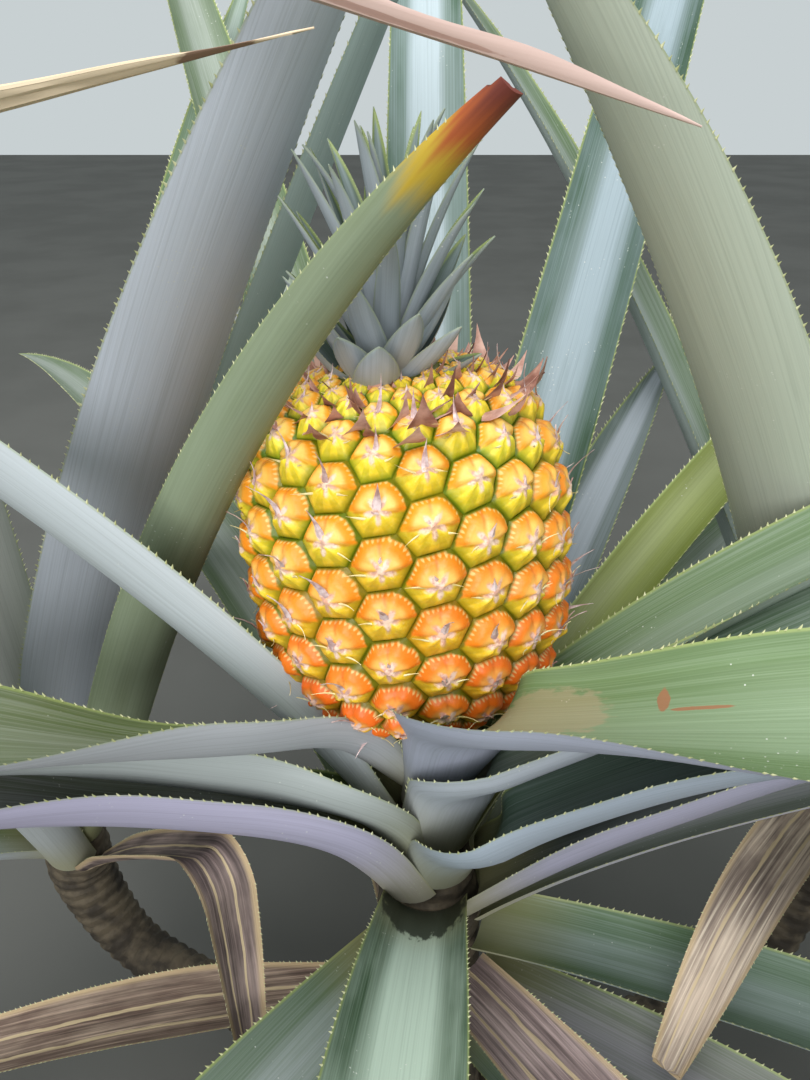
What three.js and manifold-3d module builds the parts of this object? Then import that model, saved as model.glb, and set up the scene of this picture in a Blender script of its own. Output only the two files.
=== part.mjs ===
// A pineapple plant in fruit: a short stem with long channelled leaves, a stalk that carries one ripe
// fruit with its crown, and two side shoots from the same root. Millimetres, +Z up, ground at z = 0.
// Azimuths are degrees round +Z from +X, so 270 points to the front.
import * as THREE from "three";
import { mergeVertices } from "three/addons/utils/BufferGeometryUtils.js";
import Module from "manifold-3d";

const wasm = await Module();
wasm.setup();

// Sizes that the whole plant is worked out from
const GAP = 0.3;
const HEART_HEIGHT = 238;
const STEM_RADIUS = { foot: 40, collar: 33, middle: 27, shoulder: 24, heart: 15 };
const SHOOT_RADIUS = { root: 15, swelling: 19, heart: 11 };
const SWELLING_BELOW_HEART = 45;
const STALK_RADIUS = { foot: 12, top: 10.5 };
const FRUIT_FOOT = new THREE.Vector3(-4, 14, 296);
const FRUIT_TOP = new THREE.Vector3(-16, 20, 436);
const FRUIT = { radius: 59, squareness: 2.8, eyeHeight: 6.5, endRadius: 8, rise: 0.9, firstAngle: 126 };
const CROWN = { leaves: 22, height: 26, radius: 11 };
const CROWN_LEAF = { lengths: 4, shortest: 26, longest: 62, width: 15, cup: 40, flattest: 10, steepest: 80 };
const LEAF = { lengths: 9, stepsEach: 6, baseWidth: 0.4, thickness: 0.0105, cup: 46 };
const GOLDEN_ANGLE = 137.508;
const EYE_ANGLE = -360 * (8 / 21);

const COLOURS = { stem: 0x8a7a5c, leaf: 0x7f9384, dry: 0x9a7a5e, fruit: 0xd99a2b, crown: 0x8fa39c };

// The hearts of the side shoots
const LEFT_HEART = new THREE.Vector3(-204, 92, 165);
const RIGHT_HEART = new THREE.Vector3(216, 65, 222);

const rad = THREE.MathUtils.degToRad;
const lerp = THREE.MathUtils.lerp;
const smooth = THREE.MathUtils.smoothstep;

function pointAt(radius, azimuth, z) {
  return new THREE.Vector3(radius * Math.cos(rad(azimuth)), radius * Math.sin(rad(azimuth)), z);
}

// Solids and geometry

function solidOf(geometry) {
  const bare = geometry.clone();
  bare.deleteAttribute("normal");
  bare.deleteAttribute("uv");
  const merged = mergeVertices(bare, 1e-3);
  return new wasm.Manifold(
    new wasm.Mesh({
      numProp: 3,
      vertProperties: merged.attributes.position.array,
      triVerts: new Uint32Array(merged.index.array),
    }),
  );
}

function geometryOf(solid) {
  const mesh = solid.getMesh();
  return surface(mesh.vertProperties, mesh.triVerts);
}

function surface(positions, faces) {
  const geometry = new THREE.BufferGeometry();
  geometry.setAttribute("position", new THREE.Float32BufferAttribute(positions, 3));
  geometry.setIndex([...faces]);
  geometry.computeVertexNormals();
  return geometry;
}

// A closed solid through rings of points that all have the same count; the last ring may be one point.
function loft(rings) {
  const count = rings[0].length;
  const points = rings.flat();
  const faces = [];
  const cap = (first, flip) => {
    for (let i = 0, j = count; i + 1 < j - 1; ) {
      const triangle = [first + i, first + i + 1, first + j - 1];
      faces.push(...(flip ? triangle.reverse() : triangle));
      i++;
      if (i + 1 < j - 1) {
        const other = [first + i, first + j - 2, first + j - 1];
        faces.push(...(flip ? other.reverse() : other));
      }
      j--;
    }
  };
  cap(0, true);
  for (let k = 0; k < rings.length - 1; k++) {
    const low = k * count;
    const high = low + count;
    for (let i = 0; i < count; i++) {
      const next = (i + 1) % count;
      if (rings[k + 1].length === 1) faces.push(low + i, low + next, high);
      else faces.push(low + i, low + next, high + next, low + i, high + next, high + i);
    }
  }
  if (rings.at(-1).length > 1) cap(points.length - count, false);
  return surface(points.flatMap((p) => [p.x, p.y, p.z]), faces);
}

// Stems

function stemProfile() {
  return [
    new THREE.Vector2(STEM_RADIUS.foot, 0),
    new THREE.Vector2(STEM_RADIUS.collar, 14),
    new THREE.Vector2(STEM_RADIUS.middle, 70),
    new THREE.Vector2(STEM_RADIUS.shoulder, 190),
    new THREE.Vector2(STEM_RADIUS.heart, HEART_HEIGHT),
  ];
}

function stemRadiusAt(z) {
  const profile = stemProfile();
  for (let i = 1; i < profile.length; i++) {
    const [low, high] = [profile[i - 1], profile[i]];
    if (z <= high.y) return lerp(low.x, high.x, (z - low.y) / (high.y - low.y));
  }
  return STALK_RADIUS.foot;
}

// The main stem: a flat cut on the ground, a flare at the foot and a taper to the heart.
function mainStem(extra = 0) {
  const side = stemProfile().map((p) => new THREE.Vector2(p.x + extra, p.y));
  side.at(-1).y += extra;
  const profile = [new THREE.Vector2(0, 0), ...side, new THREE.Vector2(0, HEART_HEIGHT + extra)];
  return new THREE.LatheGeometry(profile, 20).rotateX(Math.PI / 2);
}

// A round limb along a curve, its radius given at each fraction of its length.
function limb(curve, radiusAt, steps, sides) {
  const frames = curve.computeFrenetFrames(steps, false);
  const rings = [];
  for (let k = 0; k <= steps; k++) {
    const centre = curve.getPointAt(k / steps);
    const radius = radiusAt(k / steps);
    const ring = [];
    for (let i = 0; i < sides; i++) {
      const angle = (2 * Math.PI * i) / sides;
      const point = centre.clone();
      point.addScaledVector(frames.normals[k], radius * Math.cos(angle));
      point.addScaledVector(frames.binormals[k], radius * Math.sin(angle));
      ring.push(point);
    }
    rings.push(ring);
  }
  return loft(rings);
}

// A side shoot's stem leaves the main stem near the ground, swings out and turns up to its own heart.
function shootCurve(heart) {
  const out = THREE.MathUtils.radToDeg(Math.atan2(heart.y, heart.x));
  const reach = Math.hypot(heart.x, heart.y);
  return new THREE.CatmullRomCurve3([
    pointAt(STEM_RADIUS.middle - 9, out, 46),
    pointAt(reach * 0.45, out, 38),
    pointAt(reach * 0.86, out, 54),
    heart.clone().setZ(heart.z - 1.4 * SWELLING_BELOW_HEART),
    heart.clone().setZ(heart.z - 0.8 * SWELLING_BELOW_HEART),
    heart.clone(),
  ]);
}

// A limb that stops just short of the main stem
function clearOfStem(geometry) {
  return geometryOf(solidOf(geometry).subtract(solidOf(mainStem(GAP))));
}

// The shoot's stem is thickest a little below its heart, where the outer leaves clasp it.
function shootRadiusAt(below) {
  if (below < SWELLING_BELOW_HEART) {
    return lerp(SHOOT_RADIUS.heart, SHOOT_RADIUS.swelling, Math.max(below, 0) / SWELLING_BELOW_HEART);
  }
  const slimmer = smooth(below, SWELLING_BELOW_HEART, 3 * SWELLING_BELOW_HEART);
  return lerp(SHOOT_RADIUS.swelling, SHOOT_RADIUS.root, slimmer);
}

function shootStem(heart) {
  const curve = shootCurve(heart);
  const length = curve.getLength();
  return clearOfStem(limb(curve, (u) => shootRadiusAt((1 - u) * length), 12, 12));
}

const fruitAxis = FRUIT_TOP.clone().sub(FRUIT_FOOT).normalize();
const fruitLength = FRUIT_TOP.distanceTo(FRUIT_FOOT);

const stalkCurve = new THREE.CatmullRomCurve3([
  new THREE.Vector3(0, 0, HEART_HEIGHT - 6),
  new THREE.Vector3(-1, 6, HEART_HEIGHT + 20),
  FRUIT_FOOT.clone().addScaledVector(fruitAxis, -16),
  FRUIT_FOOT.clone(),
]);

function fruitStalk() {
  return clearOfStem(limb(stalkCurve, (u) => lerp(STALK_RADIUS.foot, STALK_RADIUS.top, u), 5, 12));
}

// Leaves

// How the direction of a leaf changes along it: t goes from 0 at the stem to 1 at the tip.
function headingAt(leaf, t) {
  const { rise, arch, early = 0.8, facing, turn = 0, roll = [0, 0, 0], fold } = leaf;
  const rolledNear = (roll[1] - roll[0]) * smooth(t, 0, 0.16);
  const rolledFar = (roll[2] - roll[1]) * smooth(t, 0.22, 0.42);
  const half = fold?.half ?? 0.035;
  const folded = fold ? smooth(t, fold.at - half, fold.at + half) : 0;
  return {
    elevation: rad(rise - arch * t ** early - (fold?.down ?? 0) * folded),
    azimuth: rad(facing + turn * smooth(t, 0, 0.4) + (fold?.turn ?? 0) * folded),
    roll: rad(roll[0] + rolledNear + rolledFar),
  };
}

// The centre line of a leaf, as points with the directions along it, across it and up from it.
function leafFrames(leaf, start, stations, stepsEach) {
  const steps = (stations - 1) * stepsEach;
  const frames = [];
  const at = start.clone();
  for (let k = 0; k <= steps; k++) {
    const t = k / steps;
    const { elevation, azimuth, roll } = headingAt(leaf, t);
    const across = new THREE.Vector3(-Math.sin(azimuth), Math.cos(azimuth), 0);
    const along = pointAt(Math.cos(elevation), 0, 0).applyAxisAngle(new THREE.Vector3(0, 0, 1), azimuth);
    along.z = Math.sin(elevation);
    const up = along.clone().cross(across);
    across.applyAxisAngle(along, roll);
    up.applyAxisAngle(along, roll);
    if (k % stepsEach === 0) frames.push({ t, at: at.clone(), across, up });
    at.addScaledVector(along, leaf.length / steps);
  }
  return frames;
}

function widthAt(leaf, t) {
  return leaf.width * lerp(leaf.baseWidth ?? LEAF.baseWidth, 1, smooth(t, 0, 0.28)) * (1 - t ** 3) ** 0.9;
}

// The channel section of a leaf: sharp margins, a hollow upper side and a keeled lower side.
function leafSection(leaf, frame, clasped) {
  const { t, at, across, up } = frame;
  const cupAtBase = Math.min(widthAt(leaf, 0) / 2 / clasped, 1.1);
  const cup = lerp(cupAtBase, rad(leaf.cup ?? LEAF.cup), smooth(t, 0, 0.2));
  const radius = widthAt(leaf, t) / (2 * cup);
  const thick = Math.max(leaf.length * LEAF.thickness * (1 - t ** 2), 1);
  const place = (angle, r) =>
    at
      .clone()
      .addScaledVector(across, r * Math.sin(angle))
      .addScaledVector(up, radius - r * Math.cos(angle));
  return [
    place(-cup, radius),
    place(-cup / 3, radius + thick),
    place(cup / 3, radius + thick),
    place(cup, radius),
    place(cup / 3, radius),
    place(-cup / 3, radius),
  ];
}

function leafGeometry(leaf, start, clasped, lengths = LEAF.lengths) {
  const finer = leaf.finer ?? 1;
  const frames = leafFrames(leaf, start, lengths * finer + 1, LEAF.stepsEach / finer);
  const rings = frames.slice(0, -1).map((frame) => leafSection(leaf, frame, clasped));
  rings.push([frames.at(-1).at]);
  return loft(rings);
}

// Leaves of the main plant, from the top down. "height" is where a leaf leaves its stem, "facing" its
// azimuth there, "rise" its slope there and "arch" how far that slope falls by the tip. "turn", "roll"
// and "fold" swing, twist and bend it further on, "closer" seats its foot nearer to a leaning stem, and
// "finer" gives it that many times the usual cross sections.
const MAIN_LEAVES = {
  stalk_leaf_right: {
    height: 250, facing: 279, rise: 62, arch: 4, length: 540, width: 54, roll: [0, -16, 14],
    fold: { at: 0.17, down: 46, turn: 64, half: 0.05 }, finer: 2,
  },
  stalk_leaf_left: {
    height: 261, closer: 0.6, facing: 224, turn: -24, rise: 52, arch: -4, length: 520, width: 42,
    roll: [0, 34, -12], fold: { at: 0.1, down: 32, half: 0.05 },
  },
  stalk_leaf_back: {
    height: 238, facing: 190, rise: 60, arch: 31, length: 600, width: 40, roll: [0, 34, 34], cup: 54,
  },
  stalk_leaf_far: {
    height: 248, facing: 358, turn: -6, rise: 60, arch: 46, early: 0.5, length: 600, width: 44,
  },
  heart_leaf_01: {
    height: 235, facing: 292, rise: 69, arch: 14, length: 600, width: 42, roll: [0, -16, 0],
    fold: { at: 0.1, down: 36, turn: 66 },
  },
  heart_leaf_02: { height: 238, facing: 62, rise: 51, arch: -6, length: 660, width: 46 },
  heart_leaf_03: { height: 226, facing: 38, rise: 45, arch: 36, length: 620, width: 42 },
  heart_leaf_04: { height: 221, facing: 90, rise: 51, arch: -12, length: 680, width: 44 },
  heart_leaf_05: { height: 210, facing: 57, rise: 46, arch: 20, length: 305, width: 40 },
  heart_leaf_06: {
    height: 229, facing: 224, rise: 66, arch: 50, early: 0.7, length: 600, width: 42,
    roll: [0, 46, -10], fold: { at: 0.07, down: 32, turn: -34, half: 0.05 },
  },
  heart_leaf_07: { height: 235, facing: 113, rise: 49, arch: 12, length: 640, width: 42 },
  heart_leaf_08: {
    height: 219, facing: 294, rise: 66, arch: 80, early: 0.6, length: 600, width: 44, roll: [0, -16, 0],
    fold: { at: 0.08, down: 0, turn: 50 },
  },
  heart_leaf_09: { height: 204, facing: 264, rise: 34, arch: 50, length: 520, width: 46, cup: 58 },
  heart_leaf_10: {
    height: 198, facing: 342, turn: 14, rise: 48, arch: 40, length: 600, width: 46,
    roll: [0, -20, 0],
  },
  heart_leaf_11: {
    height: 209, facing: 216, rise: 62, arch: 54, early: 0.7, length: 600, width: 42, roll: [0, 36, 0],
    fold: { at: 0.1, down: 28, turn: -24, half: 0.06 },
  },
  outer_leaf_01: { height: 188, facing: 0, rise: 38, arch: 60, length: 600, width: 44 },
  outer_leaf_02: { height: 204, facing: 72, rise: 44, arch: 34, length: 620, width: 44 },
  outer_leaf_03: { height: 198, facing: 127, rise: 40, arch: 50, length: 560, width: 42 },
  outer_leaf_05: { height: 176, facing: 343, rise: 4, arch: 34, length: 560, width: 44 },
  outer_leaf_06: { height: 180, facing: 44, rise: 40, arch: 60, length: 560, width: 42 },
  outer_leaf_07: { height: 184, facing: 108, rise: 42, arch: 50, length: 600, width: 44 },
  outer_leaf_08: { height: 172, facing: 238, rise: 20, arch: 40, length: 540, width: 44 },
  outer_leaf_09: { height: 132, facing: 311, rise: -2, arch: 16, length: 340, width: 40 },
  outer_leaf_11: { height: 152, facing: 80, rise: 30, arch: 50, length: 560, width: 42 },
  outer_leaf_10: { height: 148, facing: 325, rise: 12, arch: 36, length: 500, width: 42 },
  outer_leaf_04: { height: 136, facing: 268, rise: 6, arch: 34, length: 440, width: 40 },
};

// The side shoots' leaves
const LEFT_LEAVES = {
  left_shoot_leaf_1: {
    height: 140, facing: 321, rise: 64.4, arch: 27, early: 2.1, length: 472, width: 26,
    roll: [0, -40, -40],
  },
  left_shoot_leaf_2: {
    height: 163, facing: 331, rise: 74, arch: 20, length: 515, width: 50,
    roll: [0, -8, -8],
  },
  left_shoot_leaf_3: {
    height: 148, facing: 18, rise: 69, arch: 8, length: 660, width: 42,
    roll: [0, -30, -30],
  },
  left_shoot_leaf_4: {
    height: 143, facing: 272, rise: 82, arch: -0.7, length: 684, width: 40,
    fold: { at: 0.61, down: 98.6, turn: 90.3, half: 0.2 },
  },
  left_shoot_leaf_5: {
    height: 126, closer: 1, facing: 273, rise: 65.2, arch: 2, length: 578, width: 36,
    fold: { at: 0.704, down: 50.5, turn: 98.5, half: 0.1 },
  },
  left_shoot_leaf_6: { height: 156, facing: 72, rise: 66, arch: 20, length: 540, width: 42 },
  left_shoot_leaf_7: { height: 146, facing: 130, rise: 58, arch: 30, length: 560, width: 42 },
  left_shoot_leaf_8: { height: 156, facing: 190, rise: 62, arch: 30, length: 560, width: 42 },
  left_shoot_leaf_9: { height: 132, facing: 225, rise: 40, arch: 50, length: 480, width: 40 },
};

const RIGHT_LEAVES = {
  right_shoot_leaf_1: {
    height: 212, facing: 200, rise: 70, arch: 23, early: 1.3, length: 445, width: 46, roll: [0, 30, 30],
  },
  right_shoot_leaf_2: {
    height: 198, facing: 125, rise: 58, arch: 24, early: 1.2, length: 560, width: 42,
    roll: [0, 20, 20],
  },
  right_shoot_leaf_3: { height: 210, facing: 62, rise: 70, arch: 24, length: 600, width: 42 },
  right_shoot_leaf_4: { height: 204, facing: 5, rise: 64, arch: 30, length: 560, width: 42 },
  right_shoot_leaf_5: { height: 190, closer: 0.5, facing: 300, rise: 44, arch: 34, length: 520, width: 42 },
  right_shoot_leaf_6: { height: 180, closer: 1.4, facing: 259, rise: 42, arch: 40, length: 520, width: 40 },
  right_shoot_leaf_7: { height: 182, closer: 1.2, facing: 35, rise: 50, arch: 50, length: 520, width: 40 },
};

const DRY_LEAVES = {
  dry_leaf_1: { height: 160, facing: 300, rise: 20, arch: 40, length: 540, width: 44 },
  dry_leaf_2: { height: 122, facing: 185, rise: 4, arch: 34, length: 360, width: 38 },
  dry_leaf_3: { height: 106, facing: 330, rise: 2, arch: 34, length: 320, width: 38 },
  dry_leaf_4: { height: 100, facing: 100, rise: 4, arch: 30, length: 320, width: 36 },
};

const LEFT_DRY_LEAVES = {
  dry_leaf_5: {
    height: 122, closer: 1.7, facing: 310, rise: 45.5, arch: 16.5, early: 1, length: 410, width: 26,
    fold: { at: 0.543, down: 122 },
  },
};

const RIGHT_DRY_LEAVES = {
  dry_leaf_6: {
    height: 197, closer: 0.2, facing: 229.5, rise: 21.3, arch: 29, early: 1, length: 190, width: 28,
    fold: { at: 0.623, down: 42.5, turn: -3, half: 0.14 },
  },
};

const plant = new THREE.Group();

function addMesh(name, geometry, kind) {
  const material = new THREE.MeshStandardMaterial({ color: COLOURS[kind], roughness: 0.6, metalness: 0 });
  material.name = kind;
  const mesh = new THREE.Mesh(geometry, material);
  mesh.name = name;
  plant.add(mesh);
}

function addMainLeaves(rows, kind) {
  for (const [name, leaf] of Object.entries(rows)) {
    const radius = stemRadiusAt(leaf.height) + 2 * GAP - (leaf.closer ?? 0);
    const start = pointAt(radius, leaf.facing, leaf.height);
    const upStalk = (leaf.height - HEART_HEIGHT) / (FRUIT_FOOT.z - HEART_HEIGHT);
    if (upStalk > 0) start.add(stalkCurve.getPointAt(upStalk).setZ(0));
    addMesh(name, leafGeometry(leaf, start, radius), kind);
  }
}

function addShootLeaves(rows, heart, kind) {
  for (const [name, leaf] of Object.entries(rows)) {
    const radius = shootRadiusAt(heart.z - leaf.height) + 2 * GAP - (leaf.closer ?? 0);
    const start = pointAt(radius, leaf.facing, leaf.height).add(heart.clone().setZ(0));
    addMesh(name, leafGeometry(leaf, start, radius), kind);
  }
}

// The fruit

function fruitRadiusAt(height) {
  const s = Math.abs((2 * height) / fruitLength - 1);
  return FRUIT.radius * Math.max(0, 1 - s ** FRUIT.squareness) ** (1 / FRUIT.squareness);
}

// The profile of the fruit as points at even steps of its own length, from foot to top
function fruitProfile() {
  const points = [];
  const steps = 400;
  for (let i = 0; i <= steps; i++) {
    const height = (fruitLength * (1 - Math.cos((Math.PI * i) / steps))) / 2;
    points.push(new THREE.Vector2(fruitRadiusAt(height), height));
  }
  return points;
}

const fruitAcross = new THREE.Vector3(1, 0, 0).addScaledVector(fruitAxis, -fruitAxis.x).normalize();
const fruitAway = fruitAxis.clone().cross(fruitAcross);

function fruitPoint(radius, angle, height) {
  return FRUIT_FOOT.clone()
    .addScaledVector(fruitAxis, height)
    .addScaledVector(fruitAcross, radius * Math.cos(rad(angle)))
    .addScaledVector(fruitAway, radius * Math.sin(rad(angle)));
}

// Eyes on a spiral, each with its centre, its outward direction and its place on the profile
function fruitEyes() {
  const profile = fruitProfile();
  const first = profile.findIndex((p) => p.x > FRUIT.endRadius);
  const last = profile.findLastIndex((p) => p.x > FRUIT.endRadius);
  const eyes = [];
  let due = 0;
  for (let i = first; i < last; i++) {
    const [a, b] = [profile[i], profile[i + 1]];
    const spacing = FRUIT.rise * (a.x / FRUIT.radius) ** 0.8;
    due += a.distanceTo(b) / spacing;
    while (due >= 1) {
      due -= 1;
      const angle = FRUIT.firstAngle + EYE_ANGLE * eyes.length;
      const slope = b.clone().sub(a).normalize();
      const out = fruitPoint(slope.y, angle, -slope.x).sub(FRUIT_FOOT);
      eyes.push({ base: fruitPoint(a.x, angle, a.y), out });
    }
  }
  return eyes;
}

// The room that the stalk's end needs in the foot of the fruit
function stalkSeat() {
  const low = FRUIT_FOOT.clone().addScaledVector(fruitAxis, -20);
  const high = FRUIT_FOOT.clone().addScaledVector(fruitAxis, GAP);
  return limb(new THREE.LineCurve3(low, high), () => STALK_RADIUS.top + 3 * GAP, 1, 24);
}

// Each eye is a low boss: a ring of valley points that it shares with its neighbours, a raised ring and a
// peak. The neighbours on the spiral are 8, 13 and 21 eyes away.
function fruitGeometry() {
  const eyes = fruitEyes();
  const count = eyes.length;
  const points = [];
  const faces = [];
  const addPoint = (p) => points.push(p) - 1;
  const valleys = new Map();
  const valley = (a, b, c) => {
    const key = [a, b, c].sort((m, n) => m - n).join();
    if (!valleys.has(key)) {
      const centre = eyes[a].base.clone().add(eyes[b].base).add(eyes[c].base).divideScalar(3);
      const out = eyes[a].out.clone().add(eyes[b].out).add(eyes[c].out).normalize();
      valleys.set(key, addPoint(centre.addScaledVector(out, 0.5)));
    }
    return valleys.get(key);
  };
  const ringOf = (k) => [
    [k, k + 8, k + 21],
    [k, k + 13, k + 21],
    [k - 8, k, k + 13],
    [k - 21, k - 8, k],
    [k - 21, k - 13, k],
    [k - 13, k, k + 8],
  ];
  for (let k = 21; k < count - 21; k++) {
    const ring = ringOf(k).map((corner) => valley(...corner));
    const { base, out } = eyes[k];
    const size = points[ring[0]].distanceTo(points[ring[3]]) / 2;
    const lift = Math.min(FRUIT.eyeHeight, size * 0.6);
    const raised = ring.map((v) =>
      addPoint(base.clone().lerp(points[v], 0.72).addScaledVector(out, lift * 0.7)),
    );
    const peak = addPoint(base.clone().addScaledVector(out, lift));
    for (let i = 0; i < ring.length; i++) {
      const next = (i + 1) % ring.length;
      faces.push(ring[i], raised[next], ring[next]);
      faces.push(ring[i], raised[i], raised[next]);
      faces.push(raised[i], peak, raised[next]);
    }
  }
  closeEnd(0);
  closeEnd(1);
  const whole = solidOf(surface(points.flatMap((p) => [p.x, p.y, p.z]), faces));
  return geometryOf(whole.subtract(solidOf(stalkSeat())));

  // The flat ends: the open rim of valley points joined to one point on the axis
  function closeEnd(end) {
    const rim = new Map();
    for (let i = 0; i < faces.length; i += 3) {
      for (let j = 0; j < 3; j++) {
        const [a, b] = [faces[i + j], faces[i + ((j + 1) % 3)]];
        if (rim.has(`${b},${a}`)) rim.delete(`${b},${a}`);
        else rim.set(`${a},${b}`, [a, b]);
      }
    }
    const height = end ? fruitLength - 1 : 1;
    const centre = addPoint(fruitPoint(0, 0, height));
    for (const [a, b] of rim.values()) {
      const along = points[a].clone().sub(FRUIT_FOOT).dot(fruitAxis);
      if (along > fruitLength / 2 === Boolean(end)) faces.push(b, a, centre);
    }
  }
}

// The crown: a short stem with small leaves on the same spiral as the big ones
function crownGeometry() {
  const foot = FRUIT_TOP.clone().addScaledVector(fruitAxis, 3);
  const tip = foot.clone().add(new THREE.Vector3(4, 6, CROWN.height));
  const core = new THREE.CatmullRomCurve3([foot, foot.clone().lerp(tip, 0.5), tip]);
  let crown = solidOf(limb(core, (u) => CROWN.radius * (1 - u / 2), 3, 10));
  for (let i = 0; i < CROWN.leaves; i++) {
    const level = i / (CROWN.leaves - 1);
    const leaf = {
      facing: GOLDEN_ANGLE * i,
      rise: lerp(CROWN_LEAF.flattest, CROWN_LEAF.steepest, level ** 0.8),
      arch: lerp(-22, 6, level),
      length: lerp(CROWN_LEAF.shortest, CROWN_LEAF.longest, smooth(level, 0, 0.7)),
      width: CROWN_LEAF.width,
      cup: CROWN_LEAF.cup,
    };
    const start = core.getPointAt(0.12 + 0.8 * level);
    start.add(pointAt(CROWN.radius * lerp(0.7, 0.2, level), leaf.facing, 0));
    crown = crown.add(solidOf(leafGeometry(leaf, start, CROWN.radius, CROWN_LEAF.lengths)));
  }
  return geometryOf(crown);
}

addMesh("main_stem", mainStem(), "stem");
addMesh("left_shoot_stem", shootStem(LEFT_HEART), "stem");
addMesh("right_shoot_stem", shootStem(RIGHT_HEART), "stem");
addMesh("fruit_stalk", fruitStalk(), "stem");
addMesh("fruit", fruitGeometry(), "fruit");
addMesh("crown", crownGeometry(), "crown");
addMainLeaves(MAIN_LEAVES, "leaf");
addShootLeaves(LEFT_LEAVES, LEFT_HEART, "leaf");
addShootLeaves(RIGHT_LEAVES, RIGHT_HEART, "leaf");
addMainLeaves(DRY_LEAVES, "dry");
addShootLeaves(LEFT_DRY_LEAVES, LEFT_HEART, "dry");
addShootLeaves(RIGHT_DRY_LEAVES, RIGHT_HEART, "dry");

export default plant;
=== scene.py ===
# A pineapple plant in fruit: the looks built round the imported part.
# Lengths are millimetres and azimuths degrees, as in the part; the meshes are made in metres.
import math

import bpy
import numpy as np
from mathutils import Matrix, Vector


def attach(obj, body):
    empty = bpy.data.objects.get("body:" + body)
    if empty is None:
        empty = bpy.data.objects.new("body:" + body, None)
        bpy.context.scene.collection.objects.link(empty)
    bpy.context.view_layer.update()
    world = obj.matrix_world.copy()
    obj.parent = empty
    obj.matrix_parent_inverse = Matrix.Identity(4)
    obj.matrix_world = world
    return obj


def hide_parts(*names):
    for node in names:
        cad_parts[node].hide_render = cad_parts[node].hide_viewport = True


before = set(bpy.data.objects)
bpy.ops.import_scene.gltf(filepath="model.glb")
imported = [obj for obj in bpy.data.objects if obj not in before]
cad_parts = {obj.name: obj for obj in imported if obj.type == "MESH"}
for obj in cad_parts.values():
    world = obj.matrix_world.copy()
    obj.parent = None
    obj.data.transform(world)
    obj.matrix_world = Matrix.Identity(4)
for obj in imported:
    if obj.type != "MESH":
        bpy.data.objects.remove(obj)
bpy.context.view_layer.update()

MM = 0.001
UP = np.array([0.0, 0.0, 1.0])

# The part's own sizes. The fold of a leaf is given as its place along the leaf, how far it turns the leaf
# down and round, and half its extent; a leaf with no fold has one that turns nothing.
GAP = 0.3
HEART_HEIGHT = 238
STEM_PROFILE = [(40, 0), (33, 14), (27, 70), (24, 190), (15, HEART_HEIGHT)]
SHOOT_RADIUS = {"root": 15, "swelling": 19, "heart": 11}
SWELLING_BELOW_HEART = 45
STALK_RADIUS = {"foot": 12, "top": 10.5}
FRUIT_FOOT = np.array([-4.0, 14.0, 296.0])
FRUIT_TOP = np.array([-16.0, 20.0, 436.0])
FRUIT = {"radius": 59, "squareness": 2.8, "end_radius": 8, "rise": 0.9, "first_angle": 126}
LEFT_HEART = np.array([-204.0, 92.0, 165.0])
RIGHT_HEART = np.array([216.0, 65.0, 222.0])
GOLDEN_ANGLE = 137.508
EYE_ANGLE = -360 * 8 / 21
PATH_STEPS = 54
BASE_WIDTH = 0.8
NO_FOLD = (0.5, 0, 0, 0.035)

# Finer than the part: stations along a leaf, points across each of its sides, and its true thickness
STATIONS = 109
ACROSS = 17
LAST_STATION = 0.9985
THICKNESS = 0.006
TOOTH = {"spacing": 3.7, "length": 1.15, "width": 1.3, "thick": 0.3}
STEM_SIDES = 72
SCAR_PITCH = 7.5
CROWN = {"leaves": 48, "height": 26, "radius": 11}
EYE = {"sides": 42, "rings": 9, "height": 4.6}
# The eyes are numbered up the fruit, and those round one are 8, 13 and 21 numbers away. The first and last,
# hidden by the leaves and the crown, are left off.
EYES_LEFT_OFF = 34
EYES_IN_A_TURN = 21
BRACT_STATIONS = 6


def lerp(a, b, t):
    return a + (b - a) * t


def smooth(x, low, high):
    t = np.clip((np.asarray(x, float) - low) / (high - low), 0, 1)
    return t * t * (3 - 2 * t)


def bump(x, centre, width):
    return np.exp(-(((np.asarray(x, float) - centre) / width) ** 2))


def unit(v):
    return v / np.maximum(np.linalg.norm(v, axis=-1, keepdims=True), 1e-12)


def around(radius, azimuth, z):
    angle = np.radians(azimuth)
    return np.stack(np.broadcast_arrays(radius * np.cos(angle), radius * np.sin(angle), z), axis=-1)


def soft_noise(x, seed, waves=4):
    """A smooth wandering value between about -1 and 1 along x, the same on each run"""
    rng = np.random.default_rng(seed)
    phase = rng.uniform(0, 2 * np.pi, waves)
    pitch = rng.uniform(0.6, 1.4, waves) * np.arange(1, waves + 1)
    x = np.asarray(x, float)[..., None]
    return (np.sin(x * pitch + phase) / np.arange(1, waves + 1)).sum(-1) / 1.4


# Meshes


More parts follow.
